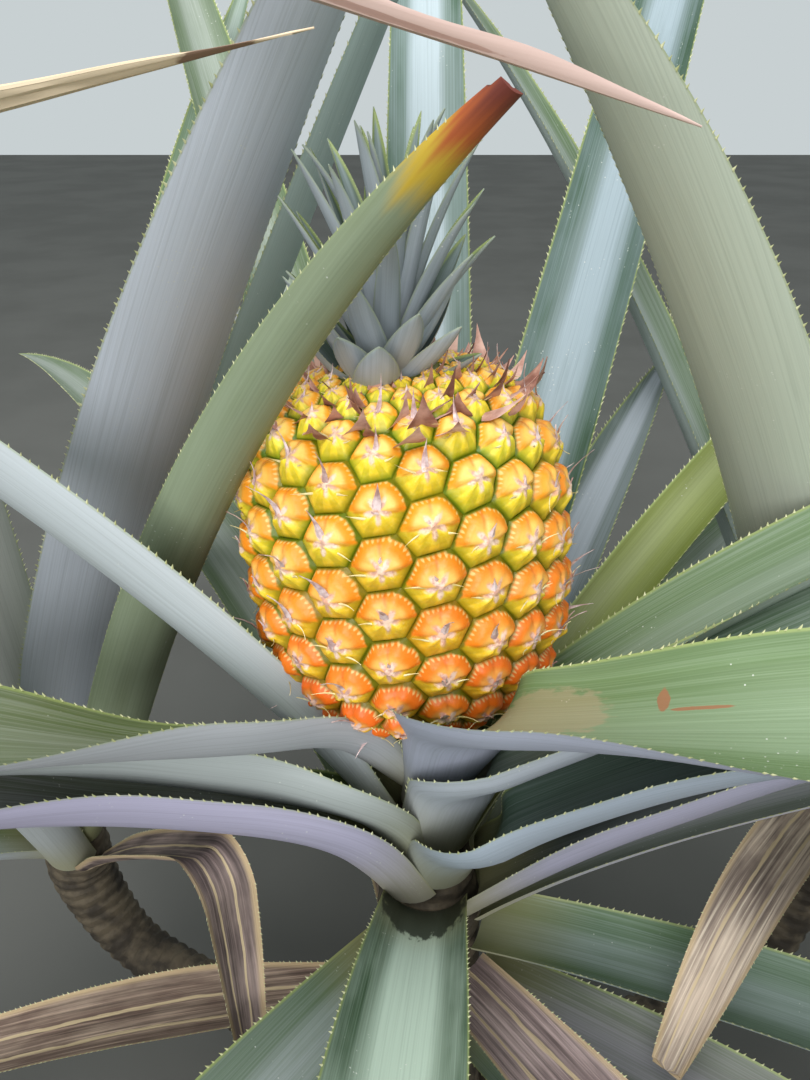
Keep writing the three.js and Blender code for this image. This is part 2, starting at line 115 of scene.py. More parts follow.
class Shape:
    """Points, faces and values gathered from many parts before they become one mesh"""

    def __init__(self):
        self.points = []
        self.faces = []
        self.slots = []
        self.values = {}
        self.count = 0

    def add(self, points, faces, slot=0, **values):
        """Points with the faces between them and their values; gives back the number of the first"""
        points = np.asarray(points, float).reshape(-1, 3)
        first = self.count
        self.points.append(points)
        self.join(faces, slot, first)
        for name in sorted(set(self.values) | set(values)):
            rows = self.values.setdefault(name, [np.zeros(self.count)] if self.count else [])
            given = values.get(name, 0.0)
            rows.append(np.broadcast_to(np.asarray(given, float).ravel(), (len(points),)))
        self.count += len(points)
        return first

    def join(self, faces, slot, first=0):
        """More faces between the points that are there, numbered from the first"""
        self.faces.append(np.asarray(faces, int) + first)
        self.slots.append(np.full(len(faces), slot))

    def piece(self, name, materials, replaces=(), slot="leaf", sharp=38):
        """One mesh of all that was gathered; edges are sharp beyond an angle in degrees"""
        points = np.concatenate(self.points) * MM
        sizes = np.concatenate([np.full(len(f), f.shape[1]) for f in self.faces])
        corners = np.concatenate([f.ravel() for f in self.faces])
        mesh = bpy.data.meshes.new(name)
        mesh.vertices.add(len(points))
        mesh.vertices.foreach_set("co", points.ravel())
        mesh.loops.add(len(corners))
        mesh.loops.foreach_set("vertex_index", corners.astype(np.int32))
        mesh.polygons.add(len(sizes))
        starts = np.concatenate([[0], np.cumsum(sizes)[:-1]])
        mesh.polygons.foreach_set("loop_start", starts.astype(np.int32))
        mesh.polygons.foreach_set("material_index", np.concatenate(self.slots).astype(np.int32))
        mesh.update(calc_edges=True)
        for key, rows in self.values.items():
            layer = mesh.attributes.new(key, "FLOAT", "POINT")
            layer.data.foreach_set("value", np.concatenate(rows).astype(np.float32))
        for material in materials:
            mesh.materials.append(material)
        mesh.polygons.foreach_set("use_smooth", np.ones(len(sizes), bool))
        mesh.set_sharp_from_angle(angle=math.radians(sharp))
        mesh.validate()
        thing = bpy.data.objects.new(name, mesh)
        bpy.context.scene.collection.objects.link(thing)
        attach(thing, "root")
        if replaces:
            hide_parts(*replaces)


def grid_faces(rows, columns, closed=False):
    """Quads between the rows of a grid of points; a closed grid joins its last column to its first"""
    last = columns if closed else columns - 1
    i, j = np.meshgrid(np.arange(rows - 1), np.arange(last), indexing="ij")
    i, j = i.ravel(), j.ravel()
    k = (j + 1) % columns
    return np.stack([i * columns + j, i * columns + k, (i + 1) * columns + k, (i + 1) * columns + j], axis=1)


# Materials


def linear(colour):
    """A colour given for a screen, 0 to 255 a channel, as the light values that shaders use"""
    c = np.array(colour, float) / 255
    return (*np.where(c <= 0.04045, c / 12.92, ((c + 0.055) / 1.055) ** 2.4), 1.0)


def toned(colour, factor, lift=0):
    return tuple(min(int(c * factor) + lift, 255) for c in colour)


class Value:
    """A number that varies over the surface, with plain arithmetic that becomes nodes"""

    def __init__(self, look, socket):
        self.look = look
        self.socket = socket

    def _with(self, operation, other, swap=False):
        return self.look.math(operation, *((other, self) if swap else (self, other)))

    def __add__(self, other):
        return self._with("ADD", other)

    def __mul__(self, other):
        return self._with("MULTIPLY", other)

    def __sub__(self, other):
        return self._with("SUBTRACT", other)

    def __rsub__(self, other):
        return self._with("SUBTRACT", other, swap=True)

    def __truediv__(self, other):
        return self._with("DIVIDE", other)

    def __abs__(self):
        return self.look.math("ABSOLUTE", self)


class Look:
    """A material under construction, with short names for the nodes that it uses"""

    def __init__(self, name, roughness, specular):
        self.material = bpy.data.materials.new(name)
        self.material.use_nodes = True
        self.tree = self.material.node_tree
        self.shader = self.tree.nodes["Principled BSDF"]
        self.shader.inputs["Roughness"].default_value = roughness
        self.shader.inputs["Specular IOR Level"].default_value = specular

    def node(self, kind, **settings):
        node = self.tree.nodes.new(kind)
        for key, value in settings.items():
            setattr(node, key, value)
        return node

    def feed(self, socket, value):
        if isinstance(value, Value):
            self.tree.links.new(value.socket, socket)
        elif isinstance(value, tuple) and len(value) == 3 and socket.type == "RGBA":
            socket.default_value = linear(value)
        else:
            socket.default_value = value

    def fill(self, node, given):
        for key, value in given.items():
            self.feed(node.inputs[key], value)

    def math(self, operation, *values):
        node = self.node("ShaderNodeMath", operation=operation)
        for socket, value in zip(node.inputs, values):
            self.feed(socket, value)
        return Value(self, node.outputs[0])

    def value(self, name):
        return Value(self, self.node("ShaderNodeAttribute", attribute_name=name).outputs["Fac"])

    def values(self, *names):
        return [self.value(name) for name in names]

    def step(self, value, low, high, start=0.0, end=1.0):
        """A smooth change from start to end while the value goes from low to high"""
        node = self.node("ShaderNodeMapRange", interpolation_type="SMOOTHSTEP")
        self.fill(node, {"Value": value, "From Min": low, "From Max": high, "To Min": start, "To Max": end})
        return Value(self, node.outputs[0])

    def peak(self, value, centre, width):
        distance = (value - centre) / width
        return self.math("EXPONENT", distance * distance * -1.0)

    def mix(self, factor, low, high):
        node = self.node("ShaderNodeMix", data_type="RGBA", clamp_factor=True)
        self.feed(node.inputs[0], factor)
        self.feed(node.inputs[6], low)
        self.feed(node.inputs[7], high)
        return Value(self, node.outputs[2])

    def vector(self, x, y, z=0.0):
        node = self.node("ShaderNodeCombineXYZ")
        for socket, value in zip(node.inputs, (x, y, z)):
            self.feed(socket, value)
        return Value(self, node.outputs[0])

    def place(self):
        return Value(self, self.node("ShaderNodeTexCoord").outputs["Object"])

    def noise(self, vector, scale, detail=3.0, roughness=0.55):
        node = self.node("ShaderNodeTexNoise")
        self.fill(node, {"Vector": vector, "Scale": scale, "Detail": detail, "Roughness": roughness})
        return Value(self, node.outputs[0])

    def cells(self, vector, scale):
        node = self.node("ShaderNodeTexVoronoi", feature="F1")
        self.fill(node, {"Vector": vector, "Scale": scale})
        return Value(self, node.outputs["Distance"])

    def marked(self, colour, marks):
        """Scars, stains and painted shade with ragged edges, each at its place along and across a leaf"""
        for t, x, length, width, tone, strength in marks:
            u = (self.value("run") - t) / length
            v = (self.value("across") - x) / width
            wide, along = self.values("wide", "along")
            grain = self.vector(wide * 300.0, along * 120.0)
            spread = u * u + v * v + self.noise(grain, 1.0, 4.0) * 1.1
            colour = self.mix(self.step(spread, 1.15, 0.95) * strength, colour, tone)
        return colour

    def relief(self, height, distance, strength=1.0):
        node = self.node("ShaderNodeBump")
        self.feed(node.inputs["Height"], height)
        node.inputs["Distance"].default_value = distance * MM
        node.inputs["Strength"].default_value = strength
        self.tree.links.new(node.outputs[0], self.shader.inputs["Normal"])

    def done(self, colour, roughness=None):
        self.feed(self.shader.inputs["Base Color"], colour)
        if roughness is not None:
            self.feed(self.shader.inputs["Roughness"], roughness)
        return self.material


# Colours of leaves
GREEN = (84, 108, 64)
DEEP_GREEN = (46, 72, 46)
PALE_FLESH = (108, 118, 100)
BLOOM = (168, 173, 174)
PALE_BLOOM = (160, 163, 176)
MARGIN = (138, 152, 92)
DUST = (206, 208, 200)
OLD_FOOT = (150, 146, 104)
TURNING = (190, 160, 52)
RUST = (142, 96, 66)
SCAR = (74, 88, 40)
STRAW_FOLD = (206, 186, 148)
STRAW_EDGE = (196, 172, 132)


def leaf_look(name, side, flesh, bloom, amount, seed, tone):
    """One side of a leaf: green flesh under a grey bloom that is rubbed in places, with fine lengthwise
    lines, a pale margin, an older tone at the foot and, where it has one, a dried tip"""
    look = Look(f"{name}_{side}", roughness=0.55, specular=0.4)
    across, along, wide, edge, run = look.values("across", "along", "wide", "edge", "run")
    shift = float(seed % 97)
    fine = look.noise(look.vector(wide * 1500.0 + shift, along * 9.0), 1.0, 2.0)
    streaks = look.noise(look.vector(wide * 260.0, along * 5.0 + shift), 1.0, 3.0)
    patches = look.noise(look.vector(wide * 28.0 + shift, along * 9.0), 1.0, 4.0, 0.6)
    bloomed = look.step(patches + streaks * 0.35, 0.42, 0.78)
    if side == "upper":
        band = look.step(abs(across) + (patches - 0.5) * 0.5, 0.2, 0.62, 1.0, 0.0)
        cover = band * amount + bloomed * (0.1 + amount * 0.35)
        margin = MARGIN
        at_margin = look.step(edge, 1.5, 0.5, 0.0, 0.9)
    else:
        cover = look.math("MULTIPLY_ADD", bloomed, 0.3, amount)
        cover = cover - look.step(edge, 4.0, 0.8, 0.0, 0.16)
        margin = tuple((a + b) // 2 for a, b in zip(MARGIN, bloom))
        at_margin = look.step(edge, 0.9, 0.2, 0.0, 0.7)
    cover = cover - look.step(run, 0.14, 0.0, 0.0, 0.2)
    colour = look.mix(streaks, flesh, toned(flesh, 0.82))
    colour = look.mix(cover, colour, bloom)
    colour = look.mix(look.step(fine, 0.42, 0.72, 0.0, 0.16), colour, toned(bloom, 1.12, 4))
    colour = look.mix(look.step(fine, 0.52, 0.26, 0.0, 0.14), colour, toned(flesh, 0.74))
    specks = look.cells(look.vector(wide * 420.0 + shift, along * 420.0), 1.0)
    dusty = look.noise(look.vector(wide * 40.0, along * 40.0 + shift), 1.0, 2.0)
    dusted = look.step(specks, 0.16, 0.07) * look.step(dusty, 0.56, 0.64) * 0.8
    colour = look.mix(dusted, colour, DUST)
    colour = look.mix(at_margin, colour, margin)
    colour = look.mix(look.step(run, 0.1, 0.0, 0.0, 0.7), colour, OLD_FOOT)
    colour = look.marked(colour, tone.get(side + "_marks", ()))
    if "dry_from" in tone:
        dry_from = tone["dry_from"]
        drying, dried = tone["dry"]
        ragged = run + (streaks - 0.5) * 0.07
        for start, end, dead in ((-0.035, 0, TURNING), (0, 0.03, drying), (0.02, 0.06, dried)):
            colour = look.mix(look.step(ragged, dry_from + start, dry_from + end), colour, dead)
    colour = look.marked(colour, tone.get("tip_marks", ()))
    look.relief(fine * 0.4 + streaks, 0.4, 0.35)
    return look.done(colour, look.step(cover, 0.1, 0.8, 0.4, 0.62))


def dry_look(name, dark, light, seed):
    """A dead leaf: brown and grey with straw edges and folds and fine lengthwise wrinkles"""
    look = Look(name, roughness=0.8, specular=0.25)
    across, along, wide, edge = look.values("across", "along", "wide", "edge")
    shift = float(seed)
    wrinkles = look.noise(look.vector(wide * 700.0 + shift, along * 12.0), 1.0, 4.0)
    patches = look.noise(look.vector(wide * 60.0, along * 16.0 + shift), 1.0, 4.0)
    colour = look.mix(look.step(patches, 0.35, 0.65), dark, light)
    colour = look.mix(look.step(wrinkles, 0.5, 0.72, 0.0, 0.55), colour, toned(light, 1.35))
    colour = look.mix(look.step(wrinkles, 0.5, 0.3, 0.0, 0.6), colour, toned(dark, 0.55))
    folds = abs(abs(across + (patches - 0.5) * 0.35) - 0.32)
    colour = look.mix(look.step(folds, 0.055, 0.03, 0.0, 0.75), colour, STRAW_FOLD)
    colour = look.mix(look.step(edge, 3.4, 1.0, 0.0, 0.7), colour, STRAW_EDGE)
    look.relief(wrinkles, 1.4, 0.8)
    return look.done(colour)


def plain_look(name, dark, light, scale, roughness=0.7, distance=0.4):
    """Small pieces: one colour with a soft mottle"""
    look = Look(name, roughness=roughness, specular=0.35)
    mottle = look.noise(look.place(), scale, 4.0)
    look.relief(mottle, distance, 0.6)
    return look.done(look.mix(look.step(mottle, 0.36, 0.64), dark, light))


# Stems


def stem_radius(z):
    radii, heights = zip(*STEM_PROFILE)
    return np.where(np.asarray(z) > HEART_HEIGHT, STALK_RADIUS["foot"], np.interp(z, heights, radii))


def shoot_radius(below):
    near = lerp(SHOOT_RADIUS["heart"], SHOOT_RADIUS["swelling"], np.clip(below / SWELLING_BELOW_HEART, 0, 1))
    slimmer = smooth(below, SWELLING_BELOW_HEART, 3 * SWELLING_BELOW_HEART)
    return lerp(near, SHOOT_RADIUS["root"], slimmer)


def between(a, b, start, end, t):
    return (end - t) / (end - start) * a + (t - start) / (end - start) * b


def spline(points, count):
    """Evenly spaced points on the centripetal curve through the given ones, and how far along it each is"""
    points = np.asarray(points, float)
    ends = [2 * points[0] - points[1], *points, 2 * points[-1] - points[-2]]
    curve = []
    for p0, p1, p2, p3 in zip(ends, ends[1:], ends[2:], ends[3:]):
        gaps = [np.linalg.norm(b - a) ** 0.5 for a, b in ((p0, p1), (p1, p2), (p2, p3))]
        k0, k1, k2, k3 = np.concatenate([[0], np.cumsum(gaps)])
        t = np.linspace(k1, k2, 40, endpoint=False)[:, None]
        first = between(p0, p1, k0, k1, t)
        middle = between(p1, p2, k1, k2, t)
        last = between(p2, p3, k2, k3, t)
        curve.append(between(between(first, middle, k0, k2, t), between(middle, last, k1, k3, t), k1, k2, t))
    curve = np.vstack([*curve, points[-1:]])
    run = np.concatenate([[0], np.cumsum(np.linalg.norm(np.diff(curve, axis=0), axis=1))])
    even = np.linspace(0, run[-1], count)
    return np.stack([np.interp(even, run, curve[:, i]) for i in range(3)], axis=1), even


def shoot_curve(heart, count):
    out = math.degrees(math.atan2(heart[1], heart[0]))
    reach = math.hypot(heart[0], heart[1])
    low = heart - UP * 1.4 * SWELLING_BELOW_HEART
    high = heart - UP * 0.8 * SWELLING_BELOW_HEART
    root = [around(18, out, 46), around(reach * 0.45, out, 38), around(reach * 0.86, out, 54)]
    return spline([*root, low, high, heart], count)


def stalk_curve(count):
    heart = [(0, 0, HEART_HEIGHT - 6), (-1, 6, HEART_HEIGHT + 20)]
    return spline([*heart, FRUIT_FOOT - 16 * fruit_axis, FRUIT_FOOT], count)


def limb_rings(centres, radii, sides):
    """Rings round a curve, turned as little as possible from each to the next"""
    along = unit(np.gradient(centres, axis=0))
    side = unit(np.cross(along[0], (0.0, 1.0, 0.0) if abs(along[0][1]) < 0.9 else (1.0, 0.0, 0.0)))
    rings = []
    angle = np.linspace(0, 2 * np.pi, sides, endpoint=False)
    for centre, ahead, radius in zip(centres, along, radii):
        side = unit(side - ahead * np.dot(side, ahead))
        spokes = np.cos(angle)[:, None] * side + np.sin(angle)[:, None] * np.cross(ahead, side)
        rings.append(centre + radius[:, None] * spokes)
    return np.array(rings)


def stem_piece(name, centres, run, radius, looks):
    """Bark with the scars of old leaves: a ring at each scar, with a lip that overlaps the next one down"""
    sides = STEM_SIDES
    angle = np.linspace(0, 360, sides, endpoint=False)
    rng = np.random.default_rng(len(name))
    wander = 0.12 * soft_noise(np.radians(angle), 5)
    phase = (run[:, None] / SCAR_PITCH + angle[None, :] / 360 * 2 + wander[None, :]) % 1
    lip = smooth(phase, 0, 0.75) * (1 - smooth(phase, 0.8, 1.0))
    rough = rng.normal(0, 0.12, (len(run), sides))
    inset = 1.4 * (1 - lip) + np.abs(rough)
    inset[0] = 0.4
    rings = limb_rings(centres, radius[:, None] - inset, sides)
    points = np.vstack([rings.reshape(-1, 3), centres[:1], centres[-1:]])
    shape = Shape()
    shape.add(points, grid_faces(len(run), sides, closed=True))
    top = (len(run) - 1) * sides
    shape.join([[(i + 1) % sides, i, len(points) - 2] for i in range(sides)], 0)
    shape.join([[top + i, top + (i + 1) % sides, len(points) - 1] for i in range(sides)], 0)
    shape.piece(name + "_bark", looks, [name], "stem")


# Leaves


def heading(leaf, t):
    """The slope, azimuth and roll of a leaf at each fraction of its length, in radians"""
    roll = leaf.get("roll", (0, 0, 0))
    place, down, turn, half = leaf.get("fold", NO_FOLD)
    folded = smooth(t, place - half, place + half)
    rise = leaf["rise"] - leaf["arch"] * t ** leaf.get("early", 0.8) - down * folded
    azimuth = leaf["facing"] + leaf.get("turn", 0) * smooth(t, 0, 0.4) + turn * folded
    rolled = roll[0] + (roll[1] - roll[0]) * smooth(t, 0, 0.16) + (roll[2] - roll[1]) * smooth(t, 0.22, 0.42)
    return np.radians(rise), np.radians(azimuth), np.radians(rolled)


def direction(rise, azimuth):
    return np.stack([np.cos(rise) * np.cos(azimuth), np.cos(rise) * np.sin(azimuth), np.sin(rise)], axis=-1)


def leaf_frames(leaf, start, t):
    """Points on the centre line, with the directions along, across and up, by the part's own steps"""
    steps = np.arange(PATH_STEPS + 1) / PATH_STEPS
    rise, azimuth, _ = heading(leaf, steps)
    moves = direction(rise, azimuth)[:-1] * leaf["length"] / PATH_STEPS
    path = start + np.vstack([np.zeros(3), np.cumsum(moves, axis=0)])
    padded = np.vstack([2 * path[0] - path[1], path, 2 * path[-1] - path[-2]])
    index = np.minimum((t * PATH_STEPS).astype(int), PATH_STEPS - 1)
    f = (t * PATH_STEPS - index)[:, None]
    p0, p1, p2, p3 = (padded[index + k] for k in range(4))
    at = p1 + 0.5 * f * (p2 - p0 + f * (2 * p0 - 5 * p1 + 4 * p2 - p3 + f * (3 * (p1 - p2) + p3 - p0)))
    rise, azimuth, roll = heading(leaf, t)
    along = direction(rise, azimuth)
    across = np.stack([-np.sin(azimuth), np.cos(azimuth), np.zeros_like(azimuth)], axis=-1)
    up = np.cross(along, across)
    cos, sin = np.cos(roll)[:, None], np.sin(roll)[:, None]
    return at, along, across * cos + up * sin, up * cos - across * sin


def leaf_width(leaf, t):
    base = lerp(leaf.get("base", BASE_WIDTH), 1, smooth(t, 0, 0.28))
    tip = (1 - (t * leaf.get("blunt", 1)) ** 3) ** 0.9
    wither = 1 - leaf.get("wither", 0) * smooth(t, *leaf.get("withered", (0.5, 0.75)))
    return leaf["width"] * leaf.get("wider", 1.15) * base * tip * wither


def leaf_parts(shape, leaf, start, clasped, seed, stations=STATIONS, columns=ACROSS):
    """One closed leaf, its upper side in the first slot, its lower side in the second, its teeth in the
    third. At its foot it is cupped round a stem of the radius that it clasps."""
    t = np.linspace(0, 1, stations)
    t[-1] = LAST_STATION
    at, along, across, up = leaf_frames(leaf, start, t)
    width = leaf_width(leaf, t)
    cup_foot = min(leaf_width(leaf, np.zeros(1))[0] / 2 / clasped, 1.25)
    cup = lerp(cup_foot, math.radians(leaf.get("cup", 46)), smooth(t, 0, 0.2))
    thick = np.maximum(leaf["length"] * THICKNESS * (1 - t**1.6), 0.5)
    x = np.linspace(-1, 1, columns)
    crumple = np.full(stations, leaf.get("crumple", 0.0))
    if "wizened" in leaf:
        crumple = 0.9 * smooth(t, leaf["wizened"] - 0.08, leaf["wizened"])
        cup = cup * (1 + 0.9 * smooth(t, leaf["wizened"] - 0.1, leaf["wizened"] + 0.05))
    radius = width / (2 * cup)
    wave = soft_noise(t * leaf["length"] / 38, seed) * 0.5
    flutter = np.abs(x)[None, :] ** 3 * ((0.35 + 2.4 * crumple) * wave * smooth(t, 0.03, 0.2))[:, None]
    folds = 0.16 * np.cos(x * 9.5)[None, :] * smooth(t, 0.05, 0.2)[:, None] * (1 - t)[:, None]
    if crumple.any():
        rng = np.random.default_rng(seed)
        lines = rng.normal(0, 1, columns)[None, :] * (0.7 + 0.3 * soft_noise(t * 30, seed + 1))[:, None]
        folds = folds + lines * (crumple * np.minimum(1, 4 * (1 - t)))[:, None]

    def side(offset, lift):
        angle = x[None, :] * cup[:, None]
        r = radius[:, None] + offset
        rise = radius[:, None] - r * np.cos(angle) + lift
        return at[:, None] + across[:, None] * (r * np.sin(angle))[..., None] + up[:, None] * rise[..., None]

    keel = thick[:, None] * (1 - x[None, :] ** 2) ** 0.8
    upper = side(np.zeros_like(keel), flutter + folds * 0.5)
    lower = side(keel, flutter + folds)
    lower[:, 0], lower[:, -1] = upper[:, 0], upper[:, -1]
    tip = upper[-1].mean(axis=0)
    upper[-1] = tip + (upper[-1] - tip) * 0.2
    ring = np.concatenate([upper, lower[:, -2:0:-1]], axis=1)
    count = ring.shape[1]
    arc = np.concatenate([x, x[-2:0:-1]])
    values = {
        "across": np.broadcast_to(arc, (stations, count)),
        "wide": arc[None, :] * width[:, None] / 2 * MM,
        "edge": (1 - np.abs(arc))[None, :] * width[:, None] / 2,
        "along": np.broadcast_to((t * leaf["length"] * MM)[:, None], (stations, count)),
        "run": np.broadcast_to(t[:, None], (stations, count)),
    }
    faces = grid_faces(stations, count, closed=True)
    is_upper = (faces[:, 0] % count) < columns - 1
    first = shape.add(ring, faces[is_upper][:, ::-1], 0, **values)
    shape.join(faces[~is_upper][:, ::-1], 1, first)
    for base, order in ((0, 1), ((stations - 1) * count, -1)):
        for i in range(columns - 1):
            quad = [base + k for k in dict.fromkeys((i, i + 1, count - i - 1, (count - i) % count))]
            shape.join([quad[::order]], 1, first)
    add_teeth(shape, leaf, t, upper, along, seed)


def add_teeth(shape, leaf, t, upper, along, seed):
    """Small hooked teeth on both margins, pointing to the tip"""
    rng = np.random.default_rng(seed + 7)
    size = leaf.get("tooth", 1.0)
    last = leaf.get("toothless", 0.965)
    count = int(leaf["length"] * last / TOOTH["spacing"] / size)
    for end, inner in ((0, 1), (-1, -2)):
        where = np.linspace(0.06, last, count) + rng.uniform(-0.25, 0.25, count) * 0.9 / count
        place = where * (len(t) - 1)
        low = place.astype(int)
        f = (place - low)[:, None]
        margin = lerp(upper[low, end], upper[low + 1, end], f)
        inward = lerp(upper[low, inner], upper[low + 1, inner], f)
        out = unit(margin - inward)
        ahead = unit(lerp(along[low], along[low + 1], f))
        normal = np.cross(ahead, out)
        scale = (rng.uniform(0.7, 1.2, count) * size * np.clip(leaf["width"] / 40, 0.35, 1))[:, None]
        half = TOOTH["width"] / 2 * scale
        thick = TOOTH["thick"] * scale
        root = margin - out * 0.35
        corners = [root - ahead * half, root + normal * thick, root + ahead * half, root - normal * thick]
        point = margin + out * TOOTH["length"] * scale + ahead * TOOTH["length"] * 0.9 * scale
        base = np.arange(count)[:, None] * 5
        faces = [np.hstack([base + a, base + b, base + 4]) for a, b in ((0, 1), (1, 2), (2, 3), (3, 0))]
        shape.add(np.stack([*corners, point], axis=1), np.vstack(faces), 2)


def row(height, facing, rise, arch, length, width, **own):
    """A leaf as the part has it: the height where it leaves its stem, its azimuth and slope there, how far
    that slope falls by the tip, its length and its width. What only some leaves have is given by name."""
    return dict(own, height=height, facing=facing, rise=rise, arch=arch, length=length, width=width)


MAIN_LEAVES = {
    "stalk_leaf_right": row(250, 279, 62, 4, 540, 60, base=0.5, roll=(0, -16, 14), fold=(0.17, 46, 64, 0.05)),
    "stalk_leaf_left": row(
        261, 224, 52, -4, 520, 42, closer=0.6, turn=-24, base=0.6, roll=(0, 34, -12),
        fold=(0.1, 32, 0, 0.05),
    ),
    "stalk_leaf_back": row(238, 190, 60, 31, 600, 40, roll=(0, 34, 34), cup=54),
    "stalk_leaf_far": row(248, 358, 60, 46, 600, 44, turn=-6, early=0.5),
    "heart_leaf_01": row(235, 292, 69, 14, 600, 42, roll=(0, -16, 0), fold=(0.1, 36, 66, 0.035), wider=1.4),
    "heart_leaf_02": row(238, 62, 51, -6, 660, 46),
    "heart_leaf_03": row(226, 38, 45, 36, 620, 42, wider=0.85),
    "heart_leaf_04": row(221, 90, 51, -12, 680, 44),
    "heart_leaf_05": row(210, 57, 46, 20, 305, 40),
    "heart_leaf_06": row(
        229, 224, 66, 50, 600, 42, early=0.7, base=0.65, roll=(0, 46, -10), fold=(0.07, 32, -34, 0.05),
        wider=1.4,
    ),
    "heart_leaf_07": row(235, 113, 49, 12, 640, 42),
    "heart_leaf_08": row(
        219, 294, 66, 80, 600, 44, early=0.6, roll=(0, -16, 0), fold=(0.08, 0, 50, 0.035), wider=1.4,
    ),
    "heart_leaf_09": row(204, 264, 34, 50, 520, 46, cup=58),
    "heart_leaf_10": row(198, 342, 48, 40, 600, 46, turn=14, roll=(0, -20, 0), wider=1.35),
    "heart_leaf_11": row(
        209, 216, 62, 54, 600, 42, early=0.7, roll=(0, 36, 0), fold=(0.1, 28, -24, 0.06), wider=1.4,
    ),
    "outer_leaf_01": row(188, 0, 38, 60, 600, 44),
    "outer_leaf_02": row(204, 72, 44, 34, 620, 44),
    "outer_leaf_03": row(198, 127, 40, 50, 560, 42),
    "outer_leaf_05": row(176, 343, 4, 34, 560, 44),
    "outer_leaf_06": row(180, 44, 40, 60, 560, 42),
    "outer_leaf_07": row(184, 108, 42, 50, 600, 44),
    "outer_leaf_08": row(172, 238, 20, 40, 540, 44),
    "outer_leaf_09": row(132, 311, -2, 16, 340, 40),
    "outer_leaf_11": row(152, 80, 30, 50, 560, 42),
    "outer_leaf_10": row(148, 325, 12, 36, 500, 42),
    "outer_leaf_04": row(136, 268, 6, 34, 440, 40),
}

LEFT_LEAVES = {
    "left_shoot_leaf_1": row(
        140, 321, 64.4, 27, 472, 26, early=2.1, roll=(0, -40, -40), wider=1.3, blunt=0.93,
    ),
    "left_shoot_leaf_2": row(163, 331, 74, 20, 515, 50, roll=(0, -8, -8), wider=1.6, cup=30),
    "left_shoot_leaf_3": row(148, 18, 69, 8, 660, 42, roll=(0, -24, -24), wider=1.5, cup=30),
    "left_shoot_leaf_4": row(
        143, 272, 82, -0.7, 684, 40, toothless=0.56, wither=0.1, withered=(0.5, 0.7), wizened=0.62,
        fold=(0.61, 98.6, 90.3, 0.2),
    ),
    "left_shoot_leaf_5": row(
        126, 273, 65.2, 2, 578, 36, closer=1, toothless=0.6, wither=0.05, withered=(0.6, 0.75), wizened=0.7,
        fold=(0.704, 50.5, 98.5, 0.1),
    ),
    "left_shoot_leaf_6": row(156, 72, 66, 20, 540, 42),
    "left_shoot_leaf_7": row(146, 130, 58, 30, 560, 42),
    "left_shoot_leaf_8": row(156, 190, 62, 30, 560, 42),
    "left_shoot_leaf_9": row(132, 225, 40, 50, 480, 40),
}

RIGHT_LEAVES = {
    "right_shoot_leaf_1": row(212, 200, 70, 23, 445, 46, early=1.3, roll=(0, 18, 18), wider=1.5, cup=30),
    "right_shoot_leaf_2": row(198, 125, 58, 24, 560, 42, early=1.2, roll=(0, 20, 20)),
    "right_shoot_leaf_3": row(210, 62, 70, 24, 600, 42),
    "right_shoot_leaf_4": row(204, 5, 64, 30, 560, 42),
    "right_shoot_leaf_5": row(190, 300, 44, 34, 520, 42, closer=0.5),
    "right_shoot_leaf_6": row(180, 259, 42, 40, 520, 40, closer=1.4),
    "right_shoot_leaf_7": row(182, 35, 50, 50, 520, 40, closer=1.2),
}

DRY_LEAVES = {
    "dry_leaf_1": row(160, 300, 20, 40, 540, 44),
    "dry_leaf_2": row(122, 185, 4, 34, 360, 38),
    "dry_leaf_3": row(106, 330, 2, 34, 320, 38),
    "dry_leaf_4": row(100, 100, 4, 30, 320, 36),
}

LEFT_DRY_LEAVES = {
    "dry_leaf_5": row(122, 310, 45.5, 16.5, 410, 26, closer=1.7, early=1, fold=(0.543, 122, 0, 0.035)),
}

RIGHT_DRY_LEAVES = {
    "dry_leaf_6": row(
        197, 229.5, 21.3, 29, 190, 28, closer=0.2, early=1, wider=1.25, blunt=0.86,
        fold=(0.623, 42.5, -3, 0.14),
    ),
}

